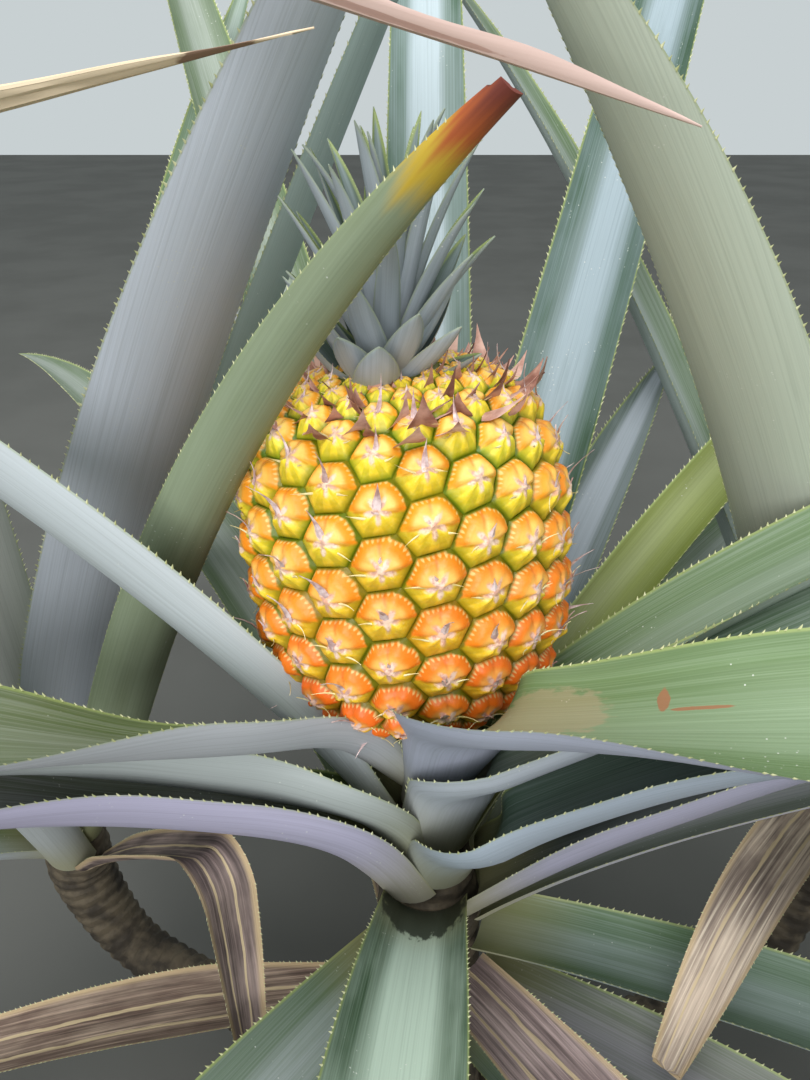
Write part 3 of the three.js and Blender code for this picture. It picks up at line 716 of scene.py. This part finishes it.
# How the leaves differ: the flesh and bloom of each side, how much bloom, and what is special to one leaf.
# A mark has its place along and across, its reach both ways, its colour and its strength.
SHADED = {"bloom": PALE_BLOOM, "under_bloom": 0.86}
LEAF_TONES = {
    "stalk_leaf_right": dict(
        SHADED, green=(88, 116, 56), band=(150, 166, 138), upper_bloom=0.3,
        upper_marks=[
            (0.22, 0.3, 0.06, 0.6, (168, 142, 118), 0.4),
            (0.295, 0.42, 0.005, 0.2, RUST, 0.9),
            (0.315, 0.3, 0.024, 0.035, RUST, 0.9),
        ],
    ),
    "stalk_leaf_left": dict(SHADED, green=(80, 98, 52), upper_bloom=0.12),
    "stalk_leaf_back": dict(green=DEEP_GREEN, upper_bloom=0.1, bloom=(170, 176, 184), under_bloom=0.9),
    "stalk_leaf_far": dict(green=(84, 110, 60), upper_bloom=0.25),
    "heart_leaf_01": dict(green=(60, 84, 56), upper_bloom=0.2, bloom=PALE_BLOOM, under_bloom=0.88),
    "heart_leaf_02": dict(green=(62, 90, 60), band=(154, 166, 174), upper_bloom=0.75),
    "heart_leaf_03": dict(
        green=(120, 126, 48), band=(148, 152, 96), upper_bloom=0.18, bloom=(150, 156, 120),
    ),
    "heart_leaf_04": dict(green=(58, 92, 62), band=(166, 180, 186), upper_bloom=0.8),
    "heart_leaf_05": dict(green=(74, 96, 78), band=(166, 176, 184), upper_bloom=0.9),
    "heart_leaf_06": dict(SHADED, green=(64, 82, 44), band=(120, 132, 108), upper_bloom=0.12),
    "heart_leaf_08": dict(SHADED, green=(52, 76, 52), upper_bloom=0.2),
    "heart_leaf_09": dict(
        green=(58, 84, 56), band=(176, 194, 178), upper_bloom=0.9,
        # painted shade: a near-black band across the whole foot of the upper side, where the leaves above
        # shade it
        upper_marks=[(0.02, 0, 0.06, 1.4, (28, 36, 26), 0.9)],
    ),
    "heart_leaf_10": dict(SHADED, green=(48, 70, 52), upper_bloom=0.2),
    "heart_leaf_11": dict(SHADED, green=(72, 90, 50), upper_bloom=0.16),
    "left_shoot_leaf_1": dict(
        under=(116, 124, 84), bloom=(150, 156, 136), under_bloom=0.62,
        dry_from=0.94, dry=((172, 88, 44), (108, 50, 40)),
    ),
    "left_shoot_leaf_2": dict(bloom=(190, 196, 212), under_bloom=1.0),
    "left_shoot_leaf_3": dict(
        bloom=(160, 166, 162), under_bloom=0.8,
        under_marks=[
            (0.44, 0.3, 0.03, 0.9, SCAR, 0.85),
            (0.45, 0.2, 0.012, 0.5, (186, 192, 184), 0.5),
        ],
    ),
    "left_shoot_leaf_4": dict(
        dry_from=0.58, dry=((196, 166, 154), (208, 180, 170)),
        tip_marks=[
            (0.92, 0.1, 0.07, 0.16, (150, 112, 100), 0.8),
            (0.88, -0.5, 0.06, 0.14, (168, 130, 118), 0.7),
        ],
    ),
    "left_shoot_leaf_5": dict(
        green=(70, 92, 44), upper_bloom=0.1, dry_from=0.66, dry=((196, 176, 144), (216, 196, 166)),
        tip_marks=[
            (0.965, 0.0, 0.018, 3.0, (104, 70, 54), 0.85),
            (0.93, 0.4, 0.05, 0.12, (150, 122, 96), 0.8),
        ],
    ),
    "right_shoot_leaf_1": dict(
        bloom=(172, 176, 164), under_bloom=0.9, under_marks=[(0.28, 0.2, 0.02, 0.8, SCAR, 0.8)],
    ),
    "right_shoot_leaf_2": dict(bloom=(160, 170, 168), under_bloom=0.74),
}

DRY_TONES = {
    "dry_leaf_1": ((124, 108, 106), (168, 150, 146)),
    "dry_leaf_5": ((88, 76, 74), (138, 122, 116)),
    "dry_leaf_6": ((128, 114, 104), (196, 178, 160)),
}
USUAL_DRY_TONES = ((104, 86, 76), (152, 134, 118))

tooth_look = plain_look("leaf_tooth", (166, 170, 120), (208, 208, 166), 90, roughness=0.5, distance=0.1)


def leaf_looks(name, seed):
    """The materials of a leaf's upper side, lower side and teeth; no two leaves have quite the same tone"""
    rng = np.random.default_rng(seed)
    tone = LEAF_TONES.get(name, {})
    jitter = rng.uniform(-7, 7, 3) + rng.uniform(-8, 8)

    def shade(key, usual):
        return tuple(int(np.clip(c + d, 0, 255)) for c, d in zip(tone.get(key, usual), jitter))

    flesh, bloom = shade("green", GREEN), shade("band", BLOOM)
    upper = leaf_look(name, "upper", flesh, bloom, tone.get("upper_bloom", 0.4), seed, tone)
    flesh, bloom = shade("under", PALE_FLESH), shade("bloom", BLOOM)
    under = leaf_look(name, "under", flesh, bloom, tone.get("under_bloom", 0.82), seed + 31, tone)
    return [upper, under, tooth_look]


def main_start(leaf):
    """Where a leaf of the main plant starts, on the stem or on the leaning stalk, and what it clasps"""
    radius = float(stem_radius(leaf["height"])) + 2 * GAP - leaf.get("closer", 0)
    start = around(radius, leaf["facing"], leaf["height"])
    up_stalk = (leaf["height"] - HEART_HEIGHT) / (FRUIT_FOOT[2] - HEART_HEIGHT)
    if up_stalk > 0:
        steps = 200
        centres, _ = stalk_curve(steps + 1)
        start = start + centres[int(round(up_stalk * steps))] * (1, 1, 0)
    return start, radius


def shoot_start(leaf, heart):
    radius = float(shoot_radius(heart[2] - leaf["height"])) + 2 * GAP - leaf.get("closer", 0)
    return around(radius, leaf["facing"], leaf["height"]) + heart * (1, 1, 0), radius


def leaf_piece(name, leaf, start, clasped, seed):
    shape = Shape()
    leaf_parts(shape, leaf, start, clasped, seed)
    shape.piece(name + "_blade", leaf_looks(name, seed), [name], "leaf")


def dry_piece(name, leaf, start, clasped, seed):
    shape = Shape()
    leaf = dict(leaf, crumple=0.28, tooth=0.8, wider=leaf.get("wider", 1.1), base=0.7)
    leaf_parts(shape, leaf, start, clasped, seed)
    dark, light = DRY_TONES.get(name, USUAL_DRY_TONES)
    upper = dry_look(name + "_upper", dark, light, seed)
    under = dry_look(name + "_under", toned(dark, 1, -8), toned(light, 1, 6), seed + 3)
    shape.piece(name + "_blade", [upper, under, tooth_look], [name], "dry")


def all_leaves():
    seed = 11
    for rows, heart, make in (
        (MAIN_LEAVES, None, leaf_piece),
        (LEFT_LEAVES, LEFT_HEART, leaf_piece),
        (RIGHT_LEAVES, RIGHT_HEART, leaf_piece),
        (DRY_LEAVES, None, dry_piece),
        (LEFT_DRY_LEAVES, LEFT_HEART, dry_piece),
        (RIGHT_DRY_LEAVES, RIGHT_HEART, dry_piece),
    ):
        for name, leaf in rows.items():
            seed += 13
            start, radius = main_start(leaf) if heart is None else shoot_start(leaf, heart)
            make(name, leaf, start, radius, seed)


# The fruit

fruit_axis = unit(FRUIT_TOP - FRUIT_FOOT)
fruit_length = float(np.linalg.norm(FRUIT_TOP - FRUIT_FOOT))
fruit_across = unit(np.array([1.0, 0.0, 0.0]) - fruit_axis * fruit_axis[0])
fruit_away = np.cross(fruit_axis, fruit_across)


def fruit_point(radius, angle, height):
    angle = math.radians(angle)
    side = fruit_across * math.cos(angle) + fruit_away * math.sin(angle)
    return FRUIT_FOOT + fruit_axis * height + side * radius


def fruit_eyes():
    """The eyes on their spiral, by the part's own rule: the place of each, and its outward direction"""
    steps = 400
    height = fruit_length * (1 - np.cos(np.pi * np.arange(steps + 1) / steps)) / 2
    s = np.abs(2 * height / fruit_length - 1)
    radius = FRUIT["radius"] * np.maximum(0, 1 - s ** FRUIT["squareness"]) ** (1 / FRUIT["squareness"])
    wide = np.flatnonzero(radius > FRUIT["end_radius"])
    eyes = []
    due = 0.0
    for i in range(wide[0], wide[-1]):
        step = math.hypot(radius[i + 1] - radius[i], height[i + 1] - height[i])
        due += step / (FRUIT["rise"] * (radius[i] / FRUIT["radius"]) ** 0.8)
        while due >= 1:
            due -= 1
            angle = FRUIT["first_angle"] + EYE_ANGLE * len(eyes)
            slope = np.array([radius[i + 1] - radius[i], height[i + 1] - height[i]]) / step
            out = fruit_point(slope[1], angle, -slope[0]) - FRUIT_FOOT
            eyes.append((fruit_point(radius[i], angle, height[i]), out))
    return eyes


def eye_relief(p, q, rho):
    """How far a point of an eye stands out, in millimetres: p runs across it and q up, in its own radii,
    and rho is 1 in the valley. The upper half ends in a round arch, the lower half runs into the corners."""
    far = np.hypot(p, q)
    theta = np.degrees(np.arctan2(q, p))
    upper = smooth(q, -0.2, 0.15)
    lower = 1 - upper
    edge = np.minimum(lerp(rho, np.maximum(far / 0.94, rho), upper), 1)
    inner = 1 - smooth(edge, 0.75, 1.0)
    height = EYE["height"] * (1 - edge**3.2) ** 0.8
    crease = 0.9 * bump(p, 0, 0.1) * smooth(far, 0.15, 0.5) * inner
    height = height + upper * (0.9 * bump(far, 0.66, 0.14) - crease)
    height = height - 0.9 * bump(q, -0.05, 0.06) * smooth(np.abs(p), 0.1, 0.3) * inner
    for ridge, tall in ((-90, 0.9), (-40, 1.1), (-140, 1.1)):
        height = height + lower * tall * bump(theta, ridge, 11) * smooth(far, 0.1, 0.4) * inner
    return height - lower * 1.5 * smooth(far, 0.2, 0.8) * inner + 0.6 * bump(far, 0, 0.16)


def fruit_look():
    """The skin: each eye has an orange arch with a pale fringe over a yellow star, in olive valleys"""
    look = Look("fruit_skin", roughness=0.4, specular=0.45)
    p, q, rho, ripe, own = look.values("eye_p", "eye_q", "eye_rho", "ripe", "own")
    spot = look.place()
    grain = look.noise(spot, 900.0, 3.0)
    cloud = look.noise(spot, 150.0, 4.0)
    wander = look.noise(spot, 60.0, 2.0)
    far = look.math("SQRT", p * p + q * q) + (cloud - 0.5) * 0.16
    theta = look.math("ARCTAN2", q, p)
    upper = look.step(q + (cloud - 0.5) * 0.16, -0.1, 0.04)
    arc = look.step(q, -0.2, 0.15)
    edge = arc * look.math("MAXIMUM", far * 1.09, rho) + (1.0 - arc) * rho
    orange = look.mix(ripe, (238, 154, 14), (232, 96, 4))
    cream = look.mix(ripe, (248, 206, 104), (244, 162, 76))
    yellow = look.mix(ripe, (236, 216, 52), (236, 178, 34))
    band = look.step(far + ripe * 0.12, 0.5, 0.78) * 0.9
    arch = look.mix(band + look.step(grain, 0.5, 0.85) * 0.2, cream, orange)
    notch = look.math("SINE", theta * 30.0 + cloud * 7.0)
    fringe = look.step(edge + notch * 0.03, 0.885, 0.935) * look.step(q, 0.05, 0.3)
    arch = look.mix(fringe * look.step(notch, -0.6, 0.6, 0.1, 0.6), arch, (240, 222, 150))
    crease = look.peak(p, 0.0, 0.06) * look.step(far, 0.25, 0.5)
    arch = look.mix(crease * 0.5, arch, (196, 92, 16))
    rays = look.math("COSINE", (theta + 1.5708) * 7.2)
    star = look.mix(look.step(grain, 0.4, 0.75) * 0.3, yellow, (248, 234, 120))
    green = look.mix(ripe, (116, 140, 12), (178, 140, 20))
    between_rays = look.step(rays + (cloud - 0.5) * 1.2, 0.3, -0.5) * look.step(far, 0.3, 0.7)
    star = look.mix(between_rays * 0.45, star, green)
    star = look.mix(look.step(rho, 0.7, 0.95) * 0.85, star, green)
    colour = look.mix(upper, star, arch)
    middle = look.peak(q, -0.05, 0.05) * look.step(abs(p), 0.14, 0.3) * look.step(edge, 0.85, 0.7)
    colour = look.mix(middle * 0.55, colour, (206, 112, 18))
    centre = look.noise(spot, 420.0, 2.0)
    lobes = look.math("COSINE", theta * 5.0 + 1.57) * 0.14 + (centre - 0.5) * 0.3 + 0.3
    lilac = look.mix(look.step(centre, 0.4, 0.6), (186, 146, 150), (232, 204, 196))
    colour = look.mix(look.step(lobes - far, -0.08, 0.14) * 0.8, colour, lilac)
    valley = look.step(edge + (wander - 0.5) * 0.1, 0.915, 0.99)
    colour = look.mix(valley, colour, look.mix(ripe, (84, 112, 6), (118, 104, 8)))
    colour = look.mix(own * 0.2, colour, orange)
    look.relief(grain * 0.4 + cloud, 0.4, 0.5)
    return look.done(colour, look.step(grain, 0.3, 0.7, 0.32, 0.48))


def valley_points(eyes):
    """The lowest point between three eyes, as a function of their numbers"""

    def valley(*corner):
        centre = np.mean([eyes[k][0] for k in corner], axis=0)
        out = unit(np.sum([eyes[k][1] for k in corner], axis=0))
        return centre + out * 0.5

    return valley


def fruit_pieces():
    eyes = fruit_eyes()
    count = len(eyes)
    sides, rings = EYE["sides"], EYE["rings"]
    rng = np.random.default_rng(5)
    skin, bracts, whiskers = Shape(), Shape(), Shape()
    valley = valley_points(eyes)
    rho = np.linspace(0, 1, rings + 1)[1:]
    share = np.arange(sides) / sides * 6
    corner = share.astype(int)
    for k in range(EYES_LEFT_OFF, count - EYES_LEFT_OFF):
        base, out = eyes[k]
        ring = np.array([
            valley(k, k + 8, k + 21), valley(k, k + 13, k + 21), valley(k - 8, k, k + 13),
            valley(k - 21, k - 8, k), valley(k - 21, k - 13, k), valley(k - 13, k, k + 8),
        ])
        border = lerp(ring[corner], ring[(corner + 1) % 6], (share - corner)[:, None])
        side = unit(np.cross(fruit_axis, out))
        top = np.cross(out, side)
        size = np.linalg.norm(ring - base, axis=1).mean()
        local = border - base
        p = rho[:, None] * (local @ side / size)
        q = rho[:, None] * (local @ top / size)
        flat = base + side * (p * size)[..., None] + top * (q * size)[..., None]
        # no two eyes are alike: each has its middle a little off and its own swelling
        inside = (1 - rho**2)[:, None]
        p = p + rng.uniform(-0.1, 0.1) * inside
        q = q + rng.uniform(-0.12, 0.08) * inside
        # the border stays on the shared valley line, and the relief is measured from there
        scale = min(1.0, size / 10.5)
        lift = eye_relief(p, q, rho[:, None]) * scale * rng.uniform(0.85, 1.12)
        lift = lift + inside * 0.5 * soft_noise(p * 5 + q * 3 + k, 9) * soft_noise(q * 6 - p * 2 + k, 10)
        lift = lift + (local @ out)[None, :] * rho[:, None] ** 2.4
        middle = base + out * eye_relief(0.0, 0.0, 0.0) * scale
        height = float((base - FRUIT_FOOT) @ fruit_axis) / fruit_length
        values = {
            "eye_p": np.concatenate([[0], p.ravel()]),
            "eye_q": np.concatenate([[0], q.ravel()]),
            "eye_rho": np.concatenate([[0], np.repeat(rho, sides)]),
            "ripe": float(np.clip(1.15 - 1.25 * height + rng.uniform(-0.12, 0.12), 0, 1)),
            "own": float(rng.uniform(0, 1) ** 2),
        }
        points = np.vstack([middle, (flat + out * lift[..., None]).reshape(-1, 3)])
        first = skin.add(points, grid_faces(rings, sides, closed=True) + 1, 0, **values)
        skin.join([[0, 1 + i, 1 + (i + 1) % sides] for i in range(sides)], 0, first)
        # the bract's dried point, laid up over the eye, and the fine points at its sides
        lean = unit(top + side * rng.uniform(-0.35, 0.35))
        across = np.cross(out, lean) * -1
        loose = rng.random() < 0.4
        foot = base + out * 4.5 * scale - top * size * 0.1
        length = size * (rng.uniform(0.8, 1.3) if loose else rng.uniform(0.4, 0.75))
        width = size * rng.uniform(0.1, 0.19)
        curl = 0.75 if loose else 0.25
        add_bract(bracts, foot, lean, out, across, length, width, rng, 0, curl=curl, thick=0.25)
        for way in (-1, 1):
            if rng.random() < 0.45:
                continue
            foot = base + side * way * size * 0.3 - top * size * rng.uniform(0.05, 0.3) + out * 3.6 * scale
            ahead = unit(side * way + top * rng.uniform(-0.4, 0.5))
            length = size * rng.uniform(0.4, 0.8)
            add_bract(whiskers, foot, ahead, out, top, length, size * 0.045, rng, 0, thick=0.15)
    last_turn = count - EYES_LEFT_OFF - EYES_IN_A_TURN
    close_fruit(skin, valley, EYES_LEFT_OFF, -1, fruit_point(0, 0, 1.0))
    close_fruit(skin, valley, last_turn, 1, fruit_point(0, 0, fruit_length - 1.0))
    skin.piece("fruit_skin", [fruit_look()], ["fruit"], "fruit", sharp=70)
    lilac = plain_look("eye_bract", (176, 140, 136), (228, 206, 204), 260, roughness=0.6, distance=0.2)
    straw = plain_look("eye_point", (206, 186, 120), (232, 218, 170), 260, roughness=0.55, distance=0.2)
    bracts.piece("fruit_eye_bracts", [lilac], (), "fruit")
    whiskers.piece("fruit_eye_points", [straw], (), "fruit")


def close_fruit(shape, valley, lowest, way, centre):
    """A shallow cone over an open end, inside the ring of the first or last eyes; way is 1 at the top"""
    numbers = range(lowest, lowest + EYES_IN_A_TURN)
    rim = np.array([valley(*sorted((k, k + near * way, k + 21 * way))) for k in numbers for near in (8, 13)])
    local = rim - FRUIT_FOOT
    rim = rim[np.argsort(np.arctan2(local @ fruit_away, local @ fruit_across))]
    n = len(rim)
    faces = [[*(i, (i + 1) % n)[::way], n] for i in range(n)]
    shape.add(np.vstack([rim, centre]), faces, 0, eye_p=1.0, eye_q=0.4, eye_rho=1.0, ripe=0.6)


def add_bract(shape, foot, ahead, out, side, length, width, rng, slot, curl=0.3, thick=0.35):
    """A small pointed scale that lies along the surface and lifts at its tip"""
    t = np.linspace(0, 1, BRACT_STATIONS)
    lift = length * curl * t**2.2 * rng.uniform(0.5, 1.6)
    sway = length * 0.12 * rng.uniform(-1, 1) * t**2
    centre = foot + ahead * (length * t)[:, None] + out * lift[:, None] + side * sway[:, None]
    half = width * (1 - t**1.6) * (0.75 + 0.5 * np.sin(np.pi * np.minimum(t * 1.3, 1)) * 0.6)
    half[-1] = 0.05
    left = centre + side * half[:, None] - out * (0.2 * half)[:, None]
    right = centre - side * half[:, None] - out * (0.2 * half)[:, None]
    points = np.stack([left, centre + out * thick, right, centre - out * thick], axis=1)
    first = shape.add(points, grid_faces(BRACT_STATIONS, 4, closed=True), slot)
    tip = 4 * (BRACT_STATIONS - 1)
    shape.join([[3, 2, 1, 0]], slot, first)
    shape.join([[tip, tip + 1, tip + 2, tip + 3]], slot, first)


# The crown and the papery scales under it


def crown_pieces():
    shape = Shape()
    radius = CROWN["radius"]
    foot = FRUIT_TOP - fruit_axis * 10 + np.array([-7.0, -2.0, 0.0])
    tip = foot + np.array([9.0, 6.0, CROWN["height"] + 8])
    rng = np.random.default_rng(3)
    for i in range(CROWN["leaves"]):
        level = i / (CROWN["leaves"] - 1)
        leaf = dict(
            facing=GOLDEN_ANGLE * i + rng.uniform(-12, 12),
            rise=lerp(26, 83, level**0.65) + rng.uniform(-6, 6),
            arch=lerp(-26, 16, smooth(level, 0, 0.7)) + rng.uniform(-12, 12),
            turn=rng.uniform(-14, 14),
            length=lerp(34, 63, smooth(level, 0.1, 0.7)) * rng.uniform(0.85, 1.12),
            width=lerp(19, 10, smooth(level, 0, 0.6)),
            wider=1, early=1.3, cup=52, base=1.25, tooth=0.5,
        )
        core = around(radius * lerp(1.1, 0.2, level), leaf["facing"], 0)
        start = lerp(foot, tip, 0.05 + 0.87 * level) + core
        leaf_parts(shape, leaf, start, radius, 400 + i, stations=30, columns=9)
    upper = leaf_look("crown", "upper", (78, 100, 76), (140, 152, 156), 0.5, 401, {})
    under = leaf_look("crown", "under", (104, 118, 106), (164, 172, 180), 0.74, 402, {})
    shape.piece("crown_leaves", [upper, under, tooth_look], ["crown"], "crown")


def papery_ring():
    """Dried scales round the foot of the crown and under the foot of the fruit"""
    rng = np.random.default_rng(8)
    shape = Shape()

    def scale(i, base, out_part, up_part, normal, length, width, curl, thick):
        """The directions are drawn first, then the length, width and curl, each from its range"""
        out = unit(fruit_point(1, GOLDEN_ANGLE * i, 0) - FRUIT_FOOT)
        side = unit(np.cross(fruit_axis, out))
        outward = 1 if out_part is None else rng.uniform(*out_part)
        ahead = unit(out * outward + fruit_axis * rng.uniform(*up_part) + side * rng.uniform(-0.7, 0.7))
        across = unit(np.cross(ahead, fruit_axis))
        if normal is None:
            normal = np.cross(across, ahead)
        length, width, curl = rng.uniform(*length), rng.uniform(*width), rng.uniform(*curl)
        add_bract(shape, base, ahead, normal, across, length, width, rng, i % 2, curl=curl, thick=thick)

    count = 130
    for i in range(count):
        level = i / (count - 1)
        height = fruit_length - lerp(15, 7, level**0.5) + 1
        base = fruit_point(lerp(47, 12, level), GOLDEN_ANGLE * i, height)
        scale(i, base, (0.3, 1.1), (-0.1, 0.5), None, (9, 17), (3.4, 6.4), (0.1, 0.7), 0.25)
    for i in range(40):
        base = fruit_point(rng.uniform(26, 47), GOLDEN_ANGLE * i, rng.uniform(4, 15))
        scale(i, base, None, (-0.6, 0.7), fruit_axis, (7, 13), (1.4, 3.4), (0.2, 0.8), 0.2)
    pink = plain_look("papery_scale", (176, 130, 116), (224, 186, 172), 120, roughness=0.75, distance=0.5)
    brown = plain_look("papery_scale_dark", (128, 84, 70), (182, 138, 120), 120, roughness=0.75, distance=0.5)
    shape.piece("fruit_papery_scales", [pink, brown], (), "fruit")


def stems():
    bark = plain_look("stem_bark", (54, 48, 40), (96, 86, 70), 70, roughness=0.8, distance=0.8)
    green = plain_look("stalk_skin", (112, 122, 84), (150, 158, 118), 70, roughness=0.6, distance=0.4)
    heights = np.linspace(0, HEART_HEIGHT, 150)
    centres = np.stack([0 * heights, 0 * heights, heights], axis=1)
    stem_piece("main_stem", centres, heights, stem_radius(heights), [bark])
    for name, heart in (("left_shoot_stem", LEFT_HEART), ("right_shoot_stem", RIGHT_HEART)):
        centres, run = shoot_curve(heart, 190)
        clear = np.hypot(centres[:, 0], centres[:, 1]) > stem_radius(centres[:, 2]) + 3
        centres, below, run = centres[clear], (run[-1] - run)[clear], run[clear]
        stem_piece(name, centres, run, shoot_radius(below), [bark])
    centres, run = stalk_curve(60)
    clear = centres[:, 2] > HEART_HEIGHT + GAP
    centres, run = centres[clear], run[clear]
    radius = lerp(STALK_RADIUS["foot"], STALK_RADIUS["top"], run / run[-1])
    stem_piece("fruit_stalk", centres, run, radius, [green])


def studio():
    """A plain dark floor, a pale sky and two soft lamps"""
    scene = bpy.context.scene
    scene.view_settings.view_transform = "Standard"
    floor = bpy.data.meshes.new("floor")
    half = 6
    corners = [(-half, -half, 0), (half, -half, 0), (half, half, 0), (-half, half, 0)]
    floor.from_pydata(corners, [], [(0, 1, 2, 3)])
    thing = bpy.data.objects.new("floor", floor)
    scene.collection.objects.link(thing)
    paper = plain_look("floor_paper", (88, 88, 84), (96, 96, 92), 3, roughness=0.9, distance=0.0)
    floor.materials.append(paper)
    world = bpy.data.worlds.new("studio")
    world.use_nodes = True
    world.node_tree.nodes["Background"].inputs["Color"].default_value = linear((200, 208, 210))
    world.node_tree.nodes["Background"].inputs["Strength"].default_value = 1.0
    scene.world = world
    for name, place, size, power in (
        ("overhead", (-0.3, -0.4, 2.4), 2.0, 42),
        ("front", (-0.5, -2.1, 1.2), 2.2, 52),
    ):
        lamp = bpy.data.lights.new(name, "AREA")
        lamp.shape = "DISK"
        lamp.size = size
        lamp.energy = power
        holder = bpy.data.objects.new(name, lamp)
        holder.location = place
        holder.rotation_euler = (Vector((0, 0, 0.3)) - Vector(place)).to_track_quat("-Z", "Y").to_euler()
        scene.collection.objects.link(holder)


def camera():
    data = bpy.data.cameras.new("camera")
    data.lens = 30
    data.clip_start = 0.01
    holder = bpy.data.objects.new("camera", data)
    holder.location = (-0.011, -0.293, 0.532)
    holder.rotation_euler = (math.radians(62), 0, 0)
    bpy.context.scene.collection.objects.link(holder)
    bpy.context.scene.camera = holder


studio()
camera()
stems()
all_leaves()
fruit_pieces()
crown_pieces()
papery_ring()
